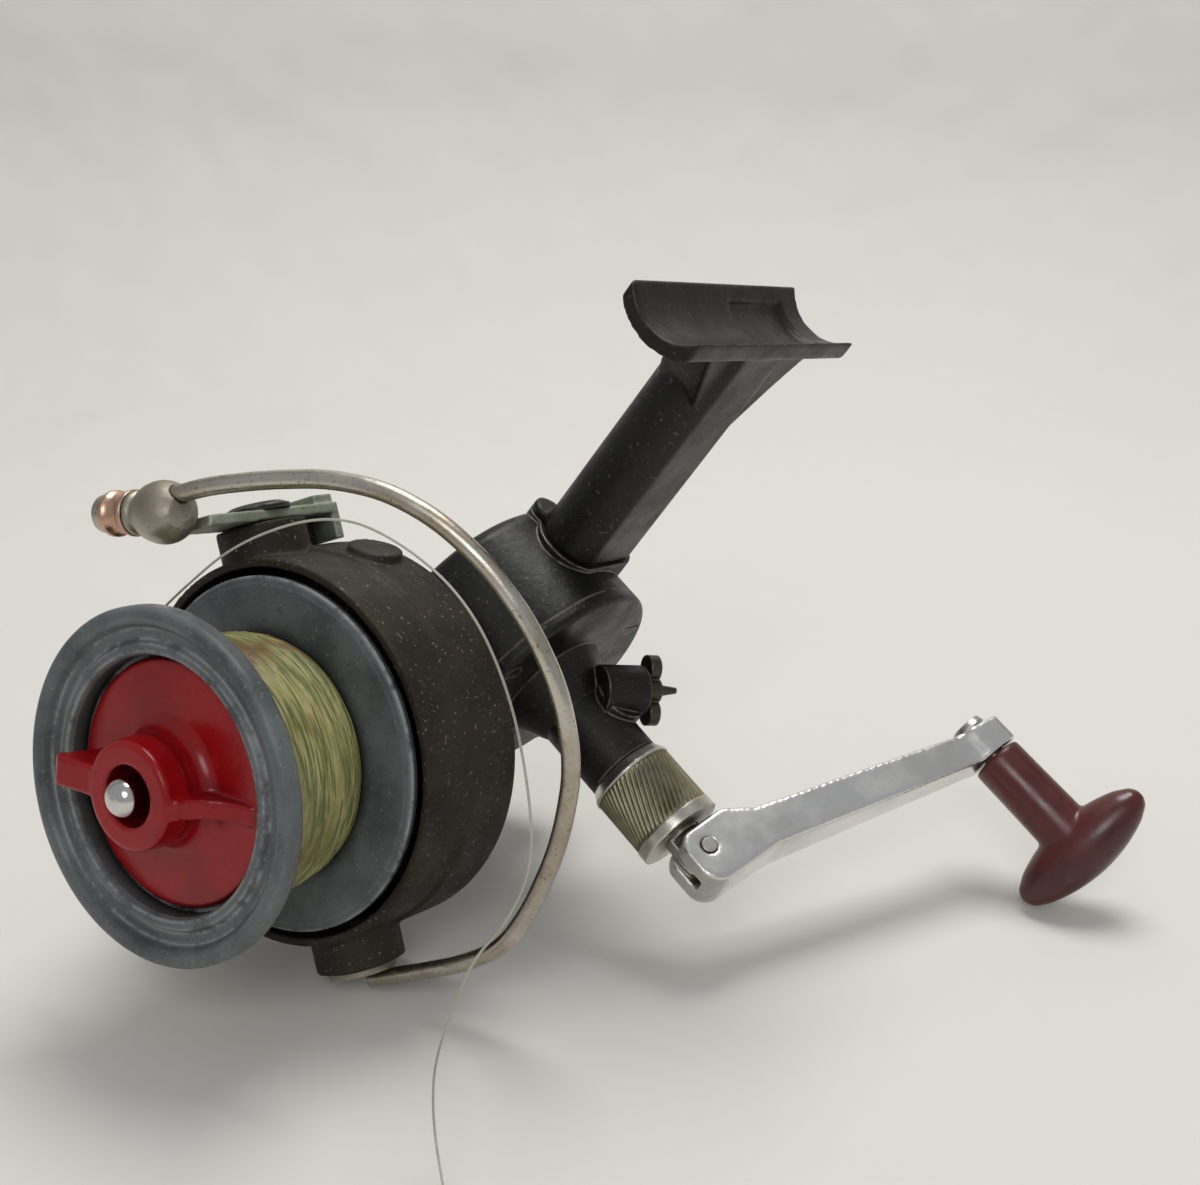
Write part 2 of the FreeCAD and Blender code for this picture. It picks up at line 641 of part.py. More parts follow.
def anti_reverse():
    """Ratchet wheel on the pinion sleeve, the pawl beside it and the thumb lever that sets it."""
    teeth = 12
    step = 2 * math.pi / teeth
    root, tip = 6.6, 7.8
    corners = []
    for tooth in range(teeth):
        for radius, share in ((root, 0.0), (tip, 0.06), (tip, 0.30), (root, 0.92)):
            angle = (tooth + share) * step
            corners.append(Vector(0, radius * math.cos(angle), radius * math.sin(angle)))
    face = Part.Face(Part.makePolygon(corners + corners[:1]))
    disc = face.extrude(Vector(1.6, 0, 0))
    hole = Part.makeCylinder(size("sleeve_radius"), 4, Vector(-1, 0, 0), Vector(1, 0, 0))
    piece(feature("RatchetTeeth", disc.cut(hole)), "ratchet_wheel", "rotor",
          ("bearing_back + bearing_width + 1.4", "0", "0"))
    pawl = plate("Pawl", "YZ_Plane", [("-1.1", "-1.0", "0", "-1.2"), ("1.1", "-1.0"), ("6.0", "-1.9"),
                                      ("6.2", "-0.9"), ("1.1", "1.0"), ("-1.1", "1.0", "-1.5", "0")], "1.6")
    piece(cut("PawlWhole", pawl, cylinder("PawlHole", "0.5", "4", ("-2", "0", "0"))), "pawl", "pawl")
    piece(bar("PawlPin", "0.46", "3.4"), "pawl_pin", "spool",
          ("bearing_back + bearing_width + 1", "pawl_side", "pawl_high"))
    stem = cylinder("SwitchStem", "1.5", "7.6", ("-6", "0", "0"))
    hub = cylinder("SwitchHub", "2.4", "2.6", ("-1.2", "0", "0"))
    lobes = []
    for side in (1, -1):
        lobes.append(cylinder(f"SwitchLobe{side + 1}", "2.5", "2.2", ("-1.1", f"{4.3 * side}", "0")))
    tip = cone("SwitchTip", "1.2", "0.6", "4", ("1.4", "0", "0"))
    piece(fuse("SwitchWhole", stem, hub, *lobes, tip), "anti_reverse_lever", "switch")


# ---------------------------------------------------------------- rotor

def rotor():
    """The rotor cup with its two ears, a stop post and a rounded lug at the rear rim."""
    step_x = "(rotor_back + rotor_front)/2 + 0.2"
    cup = turned("RotorCup", [
        ("rotor_back", "sleeve_radius"), ("rotor_back", "rotor_radius + rotor_step"),
        (step_x, "rotor_radius + rotor_step"), (step_x + " + 0.5", "rotor_radius"),
        ("rotor_front", "rotor_radius"), ("rotor_front", "rotor_radius - rotor_wall"),
        ("rotor_back + rotor_floor", "rotor_radius - rotor_wall"), ("rotor_back + rotor_floor", "10"),
        ("rotor_back + rotor_floor + 4", "10"), ("rotor_back + rotor_floor + 4", "sleeve_radius"),
    ])
    round_edges(cup, "RotorRimRound", "0.8", hoop_at("rotor_back", "rotor_radius + rotor_step"))
    ears = cylinder("RotorEars", "ear_radius", "2*ear_height", ("pivot_x", "0", "-ear_height"), "z")
    post = cylinder("RotorPost", "2.4", "ear_height - 0.4", ("pivot_x - 12.3", "-2", "0"), "z")
    lug = primitive("Part::Cylinder", "RotorLug", ("pivot_x - 8.5", "0", "0"), Rotation(Vector(1, 0, 0), -30),
                    Radius="5", Height="rotor_radius + 2")
    room = cylinder("RotorRoom", "rotor_radius - rotor_wall/2", "60", ("rotor_back + rotor_floor", "0", "0"))
    outside = cut("RotorOutside", fuse("RotorKnobs", ears, post, lug), room,
                  cylinder("RotorBehind", "rotor_radius - 0.4", "30", ("rotor_back + rotor_floor - 30", "0", "0")))
    pockets = cylinder("RotorPockets", "ear_bore", "2*(ear_height - 2.4)",
                       ("pivot_x", "0", "-(ear_height - 2.4)"), "z")
    holes = cylinder("RotorPinHoles", "1.6 + fit_gap", "2*ear_height + 2", ("pivot_x", "0", "-ear_height - 1"), "z")
    piece(cut("RotorWhole", fuse("RotorSolid", cup, outside), pockets, holes), "rotor", "rotor")
    flats = doc.addObject("Part::Prism", "RotorNutHex")
    flats.Polygon = 6
    flats.setExpression("Circumradius", formula("sleeve_radius + 3.4"))
    flats.setExpression("Height", "3")
    flats.Placement = Placement(Vector(), TURNS["x"])
    nut = cut("RotorNut", flats, cylinder("RotorNutHole", "sleeve_radius", "3"))
    piece(nut, "rotor_nut", "rotor", ("rotor_back + rotor_floor + 4", "0", "0"))


# ---------------------------------------------------------------- spool

def spool():
    body = turned("Spool", [
        ("spool_back", "rear_flange_radius - 1"), ("spool_back + 1", "rear_flange_radius"),
        ("spool_back + 2.2", "rear_flange_radius"), ("spool_back + 2.8", "rear_flange_radius - 1.4"),
        ("spool_back + 3.2", "arbor_radius"), ("spool_front - 10.5", "arbor_radius"),
        ("spool_front - 4.4", "flange_radius - 2"), ("spool_front - 4", "flange_radius"),
        ("spool_front", "flange_radius"),
        ("spool_front", "flange_radius - 2.6"), ("spool_front - 1.8", "flange_radius - 3.8"),
        ("spool_front - 2.2", "recess_radius + 2.6"), ("spool_front - 1.4", "recess_radius + 1.9"),
        ("spool_front - 1.4", "recess_radius + 0.5"), ("spool_front - 2.2", "recess_radius"),
        ("spool_front - 6.2", "recess_radius"), ("spool_front - 6.2", "washer_radius + 0.5"),
        ("spool_front - 13.4", "washer_radius + 0.5"), ("spool_front - 13.4", "shaft_radius + fit_gap"),
        ("spool_front - 19.4", "shaft_radius + fit_gap"), ("spool_front - 19.4", "arbor_radius - 2.2"),
        ("spool_back", "arbor_radius - 2.2"),
    ])
    round_edges(body, "SpoolLipRound", "1.1", lambda edge: hoop_at("spool_front", "flange_radius")(edge)
                or hoop_at("spool_front - 4", "flange_radius")(edge)
                or hoop_at("spool_front", "flange_radius - 2.6")(edge))
    piece(body, "spool", "spool")
    winding = turned("Winding", [
        ("spool_back + 3.4", "arbor_radius"),
        ("spool_back + 3.4", "line_radius - 1.6", "(spool_back + spool_front)/2", "line_radius"),
        ("spool_front - 7.3", "line_radius - 0.8"),
        ("spool_front - 10.5", "arbor_radius"),
    ])
    piece(winding, "line_winding", "spool")
    piece(ring("SeatCollar", "6", "shaft_radius", "1.4"), "spool_seat", "spool", ("spool_front - 20.9", "0", "0"))


def drag_stack():
    """Felt and steel washers in the spool's front recess, from the back forward."""
    felt = []
    steel = []
    start = "spool_front - 13.3"
    for number in range(2):
        felt.append(ring(f"Felt{number}", "washer_radius", "shaft_radius + 0.3", "1.8",
                         (f"{start} + {3.2 * number}", "0", "0")))
        steel.append(ring(f"Steel{number}", "washer_radius - 0.4", "shaft_radius", "1.1",
                          (f"{start} + {3.2 * number + 1.95:.2f}", "0", "0")))
    for label, rings in (("drag_felts", felt), ("drag_plates", steel)):
        group = doc.addObject("Part::Compound", label + "_group")
        group.Links = rings
        piece(group, label, "spool")


def drag_knob():
    disc_front = "spool_front - 4.5"
    disc_back = "spool_front - 6.0"
    disc = turned("DragDisc", [
        (disc_back, "shaft_radius + 2"), (disc_back, "knob_radius"), (disc_front + " - 0.5", "knob_radius"),
        (disc_front, "knob_radius - 0.5"),
        (disc_front + " + 0.3", "knob_boss_radius + 2.2", disc_front + " + 1.0", "knob_boss_radius + 0.9"),
        ("knob_boss_front - 4.5", "knob_boss_radius + 0.3"),
        ("knob_boss_front - 0.8", "knob_boss_radius", "knob_boss_front - 0.2", "knob_boss_radius - 0.25"),
        ("knob_boss_front", "knob_boss_radius - 0.9"),
        ("knob_boss_front", "knob_bore"), ("knob_boss_front - 5.4", "knob_bore"),
        ("knob_boss_front - 5.4", "shaft_radius + 2"),
    ])
    low_wing = plate("LowWing", "XZ_Plane", [
        (disc_back + " + 0.4", "knob_bore + 1"), ("knob_boss_front - 0.6", "knob_bore + 1"),
        ("knob_boss_front - 1.2", "knob_boss_radius + 0.6", disc_front + " + 2.7", "knob_boss_radius + 4.6"),
        (disc_front + " + 1.1", "knob_radius - 2.6"),
        (disc_front + " - 0.2", "knob_radius - 1"), (disc_back + " + 0.4", "knob_radius - 1"),
    ], "3.4")
    high_wing = plate("HighWing", "XZ_Plane", [
        (disc_back + " + 0.4", "-knob_bore - 1"), ("knob_boss_front - 0.5", "-knob_bore - 1"),
        ("knob_boss_front + 0.7", "-knob_boss_radius - 6.6", "knob_boss_front + 0.2", "-knob_boss_radius - 7.8"),
        ("knob_boss_front - 1.2", "-knob_boss_radius - 8.0"),
        (disc_front + " + 0.6", "-knob_boss_radius - 5.4"), (disc_back + " + 0.4", "-knob_boss_radius - 5"),
    ], "5.2")
    piece(fuse("DragKnobWhole", disc, low_wing, high_wing), "drag_knob", "drag")
    piece(ring("KnobInsert", "shaft_radius + 2", "shaft_radius + fit_gap", "3.2"),
          "knob_insert", "spool", ("spool_front - 6.0", "0", "0"))
    button = turned("Button", [("shaft_front + 2", "0"), ("shaft_front + 2", "button_radius"),
                               ("button_front - 1.9", "button_radius", "button_front - 0.75", "button_radius*0.76"),
                               ("button_front - 0.1", "0.7"), ("button_front", "0.3"), ("button_front", "0")])
    piece(button, "release_button", "spool")


def coil(radius, wire, pitch, turns, start):
    """An open coil about local X, each turn of eight runs and their arcs."""
    corners = 8
    reach = radius / math.cos(math.pi / corners)
    spots = []
    for step in range(int(turns * corners) + 1):
        angle = 2 * math.pi * step / corners
        spots.append(Vector(start + pitch * step / corners, reach * math.cos(angle), reach * math.sin(angle)))
    return tube(spots, wire)[0]


def springs():
    piece(feature("ButtonSpring", coil(1.9, 0.25, 0.65, 2, 0.3)), "button_spring", "spool", ("shaft_front", "0", "0"))
    piece(feature("BailSpring", coil(4.2, 0.4, 0.95, 3, 0)), "bail_spring", "upper_ear", ("rotor_radius - 0.4", "0", "0"))


# ---------------------------------------------------------------- bail

def bail_arm():
    """The flat arm over the upper ear, with a folded tail tab and a stop block."""
    high = "ear_height + 0.3"
    strip = plate("ArmStrip", "XY_Plane", [
        ("-tail_reach", "-4.2"), ("-5", "-5"), ("5", "-5"), ("arm_reach - 2", "-0.8"), ("arm_reach - 2", "7.2"),
        ("5", "5.2"), ("-5", "5.2"), ("-tail_reach", "4.2"),
    ], "arm_thick", high)
    above_rotor = "rotor_radius + rotor_step + free_gap"
    tab = box("ArmTab", "arm_thick", "8.4", f"{high} + arm_thick - ({above_rotor})",
              ("-tail_reach", "0", above_rotor))
    block = box("ArmBlock", "5", "6.4", "1.8", ("-tail_reach", "0", "ear_height + 0.3 + arm_thick"))
    hole = cylinder("ArmHole", "1.6", "4", ("0", "0", "ear_height - 1"), "z")
    turn = direction_turn(*ROLLER_AXIS)
    notch = primitive("Part::Cylinder", "ArmNotch", ("arm_reach", "roller_side + 6.86", "roller_high - 1.4"),
                      turn * TURNS["x"], Radius="roller_body_radius + 0.42", Height="14")
    piece(cut("ArmWhole", fuse("ArmSolid", strip, tab, block), hole, notch), "bail_arm", "pivot")


def bail_pins():
    """The two pivots: a capped pin through the arm, and a plate with a pin under the wire's far end."""
    cap = turned("ArmCap", [
        ("ear_height - 3.6", "0"), ("ear_height - 3.6", "1.6"), ("ear_height + 0.3 + arm_thick", "1.6"),
        ("ear_height + 0.3 + arm_thick", "6.2"), ("ear_height + 1.2 + arm_thick", "6.2"),
        ("ear_height + 1.9 + arm_thick", "4.6"), ("ear_height + 1.9 + arm_thick", "0"),
    ])
    piece(cap, "arm_pivot_cap", "upper_ear")
    low = turned("LowPlate", [
        ("ear_height - 3.6", "0"), ("ear_height - 3.6", "1.6"), ("ear_height + 0.3", "1.6"),
        ("ear_height + 0.3", "6.4"), ("ear_height + 1.45", "6.4"), ("ear_height + 1.45", "0"),
    ])
    piece(low, "wire_pivot_plate", "lower_ear")


WIRE_ROUTE = [(4, 47.4), (13, 47.2), (25, 45.4), (37, 42.6), (46, 38.4), (53, 32), (58.5, 23), (61.6, 12), (62, 0),
              (58.8, -12), (50.5, -24.5), (39.5, -35.4), (31, -41.4), (22, -43.4), (9, -44.1), (1, -44.2)]


def wire_point(out, high):
    """A point of the wire in its own leaning plane, from its place out from and along the pivot axis."""
    return Vector(11.5 - 0.1 * out + 0.27 * high, out, high)


def roller():
    """The arm's end casting with its spindle, the line roller on it and the domed nut."""
    end = turned("ArmEnd", [
        ("-3.8", "0"), ("-3.8", "1.4"), ("-3.2", "3.2"), ("-2.0", "4.4", "0.6", "roller_body_radius + 0.3"),
        ("3.4", "roller_body_radius", "5.0", "4.5"), ("5.8", "3.6"), ("6.6", "3.3"), ("7.3", "4.0"),
        ("8.2", "4.0"), ("8.2", "1.3"), ("15.2", "1.3"), ("15.2", "0"),
    ])
    back = direction_turn(*ROLLER_AXIS).inverted()
    first, second = [wire_point(*spot) for spot in WIRE_ROUTE[:2]]
    along = Rotation(Vector(0, 0, 1), back.multVec(second - first))
    start = back.multVec(first - point("arm_reach", "roller_side", "roller_high"))
    socket = primitive("Part::Cylinder", "WireSocket", [f"{value:.4f}" for value in start], along,
                       Radius="wire_radius + 0.02", Height="12")
    piece(cut("ArmEndWhole", end, socket), "arm_end", "roller")
    wheel = turned("LineRoller", [
        ("8.4", "1.3 + fit_gap"), ("8.4", "roller_radius"),
        ("9.2", "roller_radius", "11.2", "roller_radius - 0.9"), ("13.1", "roller_radius"),
        ("13.9", "roller_radius"), ("13.9", "1.3 + fit_gap"),
    ])
    piece(wheel, "line_roller", "roller")
    nut = turned("RollerNut", [
        ("14.1", "1.3"), ("14.1", "3.5"), ("16.3", "3.4"), ("16.8", "2.6", "18.0", "2.0"),
        ("19.0", "0.6"), ("19.0", "0"), ("15.2", "0"), ("15.2", "1.3"),
    ])
    piece(nut, "roller_nut", "roller")


def bail_wire():
    """The round wire from the arm's end, out around the side of the spool, to the lower pivot plate."""
    points = [wire_point(*spot) for spot in WIRE_ROUTE]
    shape, length, radii = tube(points, size("wire_radius"))
    print(f"bail wire: length {length:.1f}, radii {[round(radius, 1) for radius in radii]}")
    piece(feature("BailWire", shape), "bail_wire", "pivot")


# From the winding, out past the spool's lip, loosely round in front of the bail and down to the table.
LINE_ROUTE = [(72.5, -23.85, -97), (73.5, -23.3, -86), (74, -20.4, -73), (80, -11.9, -52.6), (84, 1.4, -33.4),
              (84, 13.4, -27.3), (82, 26.8, -26.6), (78.5, 38.6, -33.6), (76.5, 49.5, -43.5), (76, 57, -52),
              (76.5, 59.6, -62), (76, 59, -71.5), (74.8, 61.2, -81), (72.7, 63.9, -93.3), (73.4, 69.9, -100.2),
              (81.4, 79.4, -98.6), (85.4, 84.9, -97.8)]


def fishing_line():
    """The loose end of the line, a thin nylon strand."""
    shape, length, radii = tube([Vector(*spot) for spot in LINE_ROUTE], size("line_thick"))
    section = math.pi * size("line_thick") ** 2
    print(f"fishing line: length {length:.1f}, volume over section x length {shape.Volume / (section * length):.4f}, "
          f"radii {[round(radius, 1) for radius in radii]}")
    piece(feature("FishingLine", shape), "fishing_line", "foot")


# ---------------------------------------------------------------- handle

def handle():
    """Handle shaft with the folding tongue, its bushes and the knurled locking collar."""
    bar = turned("HandleBar", [
        ("-wheel_width/2", "0"), ("-wheel_width/2", "spindle_radius"),
        ("boss_end + collar_length + 0.3", "spindle_radius"), ("boss_end + collar_length + 0.3", "0"),
    ])
    tongue = box("HandleTongue", "5.4", "7", "3", ("boss_end + collar_length - 0.2", "0", "-1.5"))
    knuckle = cylinder("HandleKnuckle", "3.4", "3", ("hinge_y", "0", "-1.5"), "z")
    hole = cylinder("HandlePinHole", "hinge_radius + fit_gap", "8", ("hinge_y", "0", "-4"), "z")
    piece(cut("HandleShaft", fuse("HandleSolid", bar, tongue, knuckle), hole), "handle_shaft", "crank_spindle")
    for label, start in (("inner_bush", "case_right"), ("outer_bush", "boss_end - 9")):
        piece(ring(label + "_ring", "spindle_radius + 1.6", "spindle_radius + fit_gap", "9"),
              label, "spindle", (start, "0", "0"))
    piece(ring("CollarSleeve", "collar_radius - 0.2", "spindle_radius + fit_gap", "collar_length - 0.6 - 2*rim_long"),
          "collar_sleeve", "spindle", ("boss_end + 0.3 + rim_long", "0", "0"))
    inner = turned("CollarInnerRim", [
        ("0", "spindle_radius + fit_gap"), ("0", "collar_radius - 1"), ("rim_long - 0.4", "collar_radius"),
        ("rim_long", "collar_radius"), ("rim_long", "spindle_radius + fit_gap"),
    ])
    piece(inner, "collar_inner_rim", "spindle", ("boss_end + 0.3", "0", "0"))
    piece(ring("CollarOuterRim", "collar_radius", "spindle_radius + fit_gap", "rim_long"),
          "collar_outer_rim", "spindle", ("boss_end + collar_length - 0.3 - rim_long", "0", "0"))


def crank():
    """The folding crank: a forked root, a tapered arm and an end block that carries the knob."""
    side = plate("CrankSide", "XY_Plane", [
        ("-4.6", "hinge_y - 1.6", "-3.4", "hinge_y - 3.5"), ("-1.9", "crank_root"), ("7", "crank_root"),
        ("13", "crank_root + 3.6"),
        ("crank_length - 5", "crank_end"), ("crank_length + 5", "crank_end + 1.2"),
        ("crank_length + 5", "crank_end + crank_thick"), ("crank_length - 5", "crank_end + crank_thick"),
        ("12", "crank_root + 11.8"), ("0", "crank_root + 11.6", "-3.4", "crank_root + 10.4"),
        ("-4.6", "crank_root + 7.4"),
    ], "crank_wide + 4")
    top = plate("CrankTop", "XZ_Plane", [
        ("-8", "-crank_wide/2 - 0.8"), ("12", "-crank_wide/2 - 0.8"), ("crank_length - 6", "-crank_wide/2 + 0.9"),
        ("crank_length - 3", "-crank_wide/2 - 0.6"), ("crank_length + 3.4", "-crank_wide/2 - 0.6"),
        ("crank_length + 5", "-crank_wide/2 + 2"), ("crank_length + 5", "crank_wide/2 - 2"),
        ("crank_length + 3.4", "crank_wide/2 + 0.6"), ("crank_length - 3", "crank_wide/2 + 0.6"),
        ("crank_length - 6", "crank_wide/2 - 0.9"), ("12", "crank_wide/2 + 0.8"), ("-8", "crank_wide/2 + 0.8"),
    ], "400")
    slot = box("CrankSlot", "14", "12", "3.3", ("-8", "crank_root + 2.4", "-1.65"))
    pin_hole = cylinder("CrankPinHole", "hinge_radius", "30", ("0", "hinge_y", "-15"), "z")
    knob_hole = cylinder("CrankKnobHole", "2.2", "30", ("crank_length", "crank_end - 10", "0"), "y")
    piece(cut("CrankWhole", common("CrankBlank", side, top), slot, pin_hole, knob_hole), "crank", "crank")
    piece(bar("FoldPin", "hinge_radius", "crank_wide + 2.2"), "fold_pin", "fold")


def knob():
    """The torpedo knob with its tapered stem, and the spindle it turns on."""
    start = "crank_end + crank_thick + 0.4"
    middle = "crank_end + knob_stem + 3.5"
    bar = turned("KnobBar", [
        ("-knob_half", "0"), ("-knob_half", "0.9"), ("-knob_half + 0.9", "knob_girth - 3.9"),
        ("-knob_half + 3.4", "knob_girth - 2.4", "0", "knob_girth"),
        ("knob_half - 3.4", "knob_girth - 2.4"), ("knob_half - 0.9", "knob_girth - 3.9"),
        ("knob_half", "0.9"), ("knob_half", "0"),
    ])
    bar.setExpression("Placement.Base.y", formula(middle))
    stem = cone("KnobStem", "5.3", "knob_girth - 0.6", f"{middle} - ({start}) - 2", ("0", start, "0"), "y")
    hole = cylinder("KnobHole", "2.2 + fit_gap", f"{middle} - ({start}) - 2.4", ("0", f"{start} - 1", "0"), "y")
    piece(cut("KnobWhole", fuse("KnobSolid", bar, stem), hole), "knob", "knob")
    pin = turned("KnobPin", [
        ("crank_end - 1.4", "0"), ("crank_end - 1.4", "3.2"), ("crank_end", "3.6"), ("crank_end", "2.2"),
        (f"{middle} - 6", "2.2"), (f"{middle} - 5", "1.2"), (f"{middle} - 5", "0"),
    ])
    piece(pin, "knob_spindle", "knob_spindle")


def main():
    foot_and_stem()
    housing()
    side_cover()
    cover_screws()
    drive_wheel()
    pinion()
    shaft_line()
    anti_reverse()
    rotor()
    spool()
    drag_stack()
    drag_knob()
    springs()
    bail_arm()
    bail_pins()
    roller()
    bail_wire()
    fishing_line()
    handle()
    crank()
    knob()


main()
doc.recompute()
bad = [thing.Label for thing in doc.Objects if "Invalid" in thing.State or "Error" in thing.State]
bad += [thing.Label for thing in pieces if thing.Shape.isNull() or not thing.Shape.isValid()]
if bad:
    raise RuntimeError(f"failed objects: {bad}")
os.makedirs("parts", exist_ok=True)
for thing in pieces:
    thing.Shape.exportStep(f"parts/{thing.Label}.step")
    bounds = thing.Shape.BoundBox
    print(f"{thing.Label}: {len(thing.Shape.Solids)} solids, volume {thing.Shape.Volume:.1f}, "
          f"{bounds.XLength:.1f} x {bounds.YLength:.1f} x {bounds.ZLength:.1f}")
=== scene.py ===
import math
import random

import bmesh
import bpy
from mathutils import Matrix, Vector


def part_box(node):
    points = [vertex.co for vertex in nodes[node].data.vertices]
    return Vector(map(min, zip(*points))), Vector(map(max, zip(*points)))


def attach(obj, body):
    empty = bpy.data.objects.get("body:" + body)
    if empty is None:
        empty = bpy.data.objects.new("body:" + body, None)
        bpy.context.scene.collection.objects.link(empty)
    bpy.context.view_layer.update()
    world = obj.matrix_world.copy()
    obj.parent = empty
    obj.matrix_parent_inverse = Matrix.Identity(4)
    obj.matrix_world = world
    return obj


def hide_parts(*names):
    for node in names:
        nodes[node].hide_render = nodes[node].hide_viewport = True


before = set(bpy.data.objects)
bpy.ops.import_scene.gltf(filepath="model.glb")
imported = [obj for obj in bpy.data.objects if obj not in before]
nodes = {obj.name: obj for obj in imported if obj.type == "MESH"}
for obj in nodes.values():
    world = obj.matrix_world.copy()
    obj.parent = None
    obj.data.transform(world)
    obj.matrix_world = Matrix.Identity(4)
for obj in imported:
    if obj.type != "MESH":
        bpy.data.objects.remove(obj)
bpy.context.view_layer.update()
random.seed(7)
MM = 0.001
FULL_TURN = 6.283


# ---------------------------------------------------------------- camera, floor and light

def add_camera():
    """Perspective camera at the photograph's viewing angle, in the rod seat's frame."""
    across = Vector((-0.5531, 0.6331, 0.5415))
    down = Vector((0.1243, 0.7054, -0.6978))
    ahead = Vector((-0.8238, -0.3187, -0.4689))
    camera = bpy.data.objects.new("Camera", bpy.data.cameras.new("Camera"))
    bpy.context.scene.collection.objects.link(camera)
    turn = Matrix((across, -down, -ahead)).transposed()
    camera.matrix_world = Matrix.Translation((0.26998, 0.1142, 0.09707)) @ turn.to_4x4()
    camera.data.sensor_width = 36
    camera.data.lens = 51.66
    camera.data.clip_start = 0.01
    bpy.context.scene.camera = camera


FLOOR_UP = Vector((0.165, -0.554, 0.816)).normalized()
FLOOR_AHEAD = Vector((-0.8166, -0.5407, -0.202)).normalized()
FLOOR_HEIGHT = -0.1175


def add_backdrop():
    """A pale cloth under and behind the reel, clear when seen from its other side."""
    half = 3.0
    bend_start, bend, steepest, steps = 0.4, 0.15, math.radians(84), 12
    profile = [(-half, 0.0)]
    for step in range(steps + 1):
        angle = steepest * step / steps
        profile.append((bend_start + bend * math.sin(angle), bend - bend * math.cos(angle)))
    profile.append((profile[-1][0] + 0.1 * half, profile[-1][1] + half))
    aside = FLOOR_UP.cross(FLOOR_AHEAD)
    spots = []
    for side in (-half, half):
        for along, high in profile:
            spots.append(FLOOR_UP * (FLOOR_HEIGHT + high) + FLOOR_AHEAD * along + aside * side)
    count = len(profile)
    faces = [(k, k + 1, count + k + 1, count + k) for k in range(count - 1)]
    sheet = bpy.data.meshes.new("Backdrop")
    sheet.from_pydata(spots, [], faces)
    for face in sheet.polygons:
        face.use_smooth = True
    cloth = bpy.data.materials.new("Cloth")
    cloth.use_nodes = True
    tree = cloth.node_tree
    tree.nodes.clear()
    out = tree.nodes.new("ShaderNodeOutputMaterial")
    mix = tree.nodes.new("ShaderNodeMixShader")
    facing = tree.nodes.new("ShaderNodeNewGeometry")
    clear = tree.nodes.new("ShaderNodeBsdfTransparent")
    white = tree.nodes.new("ShaderNodeBsdfDiffuse")
    white.inputs["Color"].default_value = (0.7, 0.68, 0.64, 1)
    weave = tree.nodes.new("ShaderNodeTexNoise")
    weave.inputs["Scale"].default_value = 14.0
    bump = tree.nodes.new("ShaderNodeBump")
    bump.inputs["Distance"].default_value = 0.012
    bump.inputs["Strength"].default_value = 0.5
    place = tree.nodes.new("ShaderNodeTexCoord")
    tree.links.new(place.outputs["Object"], weave.inputs["Vector"])
    tree.links.new(weave.outputs["Fac"], bump.inputs["Height"])
    tree.links.new(bump.outputs[0], white.inputs["Normal"])
    tree.links.new(facing.outputs["Backfacing"], mix.inputs[0])
    tree.links.new(white.outputs[0], mix.inputs[1])
    tree.links.new(clear.outputs[0], mix.inputs[2])
    tree.links.new(mix.outputs[0], out.inputs[0])
    sheet.materials.append(cloth)
    backdrop = bpy.data.objects.new("Backdrop", sheet)
    bpy.context.scene.collection.objects.link(backdrop)


def add_light(name, place, size, power, aim=(0.02, 0.02, -0.08)):
    lamp = bpy.data.lights.new(name, "AREA")
    lamp.shape = "DISK"
    lamp.size = size
    lamp.energy = power
    thing = bpy.data.objects.new(name, lamp)
    bpy.context.scene.collection.objects.link(thing)
    thing.location = place
    thing.rotation_mode = "QUATERNION"
    thing.rotation_quaternion = (Vector(place) - Vector(aim)).to_track_quat("Z", "Y")


def add_world():
    world = bpy.data.worlds.new("Studio")
    world.use_nodes = True
    glow = world.node_tree.nodes["Background"]
    glow.inputs[0].default_value = (0.95, 0.97, 1.0, 1)
    glow.inputs[1].default_value = 0.4
    bpy.context.scene.world = world
    bpy.context.scene.view_settings.view_transform = "Standard"


# ---------------------------------------------------------------- materials

